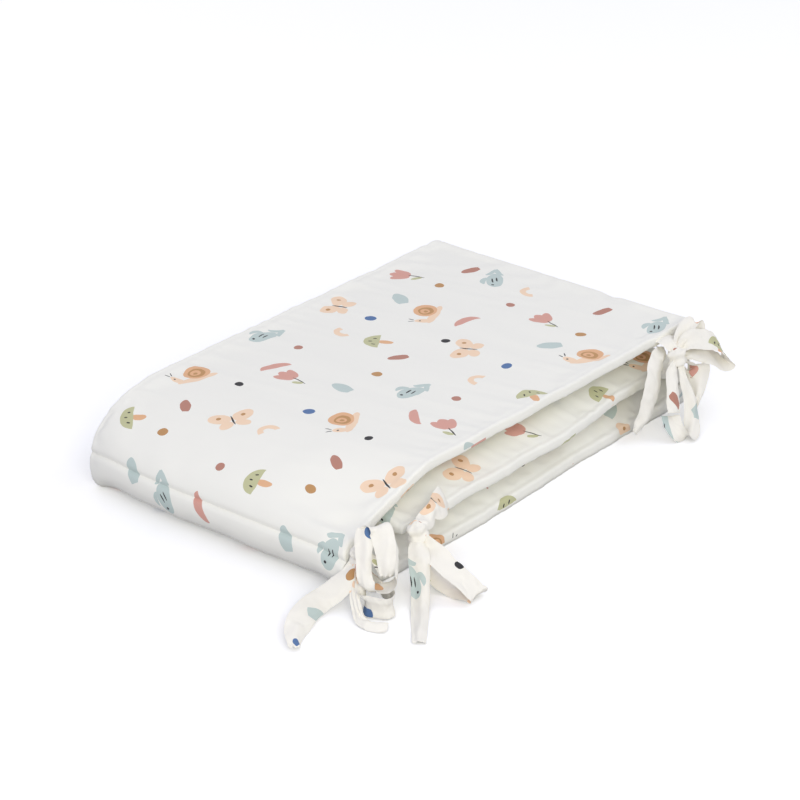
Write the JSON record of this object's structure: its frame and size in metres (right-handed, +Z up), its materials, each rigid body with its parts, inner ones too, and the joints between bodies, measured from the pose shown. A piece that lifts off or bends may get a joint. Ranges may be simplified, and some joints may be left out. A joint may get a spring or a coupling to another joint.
{
  "type": "crib bumper",
  "caption": "Long padded cotton crib bumper folded in three like a letter, with fabric ties knotted in bows along its open side.",
  "frame": {"origin": "middle of the padded strip's underside, on the surface it rests on", "axes": "+X runs along the folded strip from the outer fold to the open ends, -Y is the side with the ties, +Z is up"},
  "size_m": [0.7804, 0.5281, 0.1132],
  "materials": {
    "padded_cotton": "smooth printed percale over soft wadding, matt",
    "tie_cotton": "single layer of the same percale turned into a flat ribbon, matt"
  },
  "bodies": {
    "root": {"bumper": "padded_cotton", "tie_outer_front": "tie_cotton", "tie_inner_front": "tie_cotton", "tie_back": "tie_cotton", "tie_back_loose": "tie_cotton"}
  },
  "joints": []
}
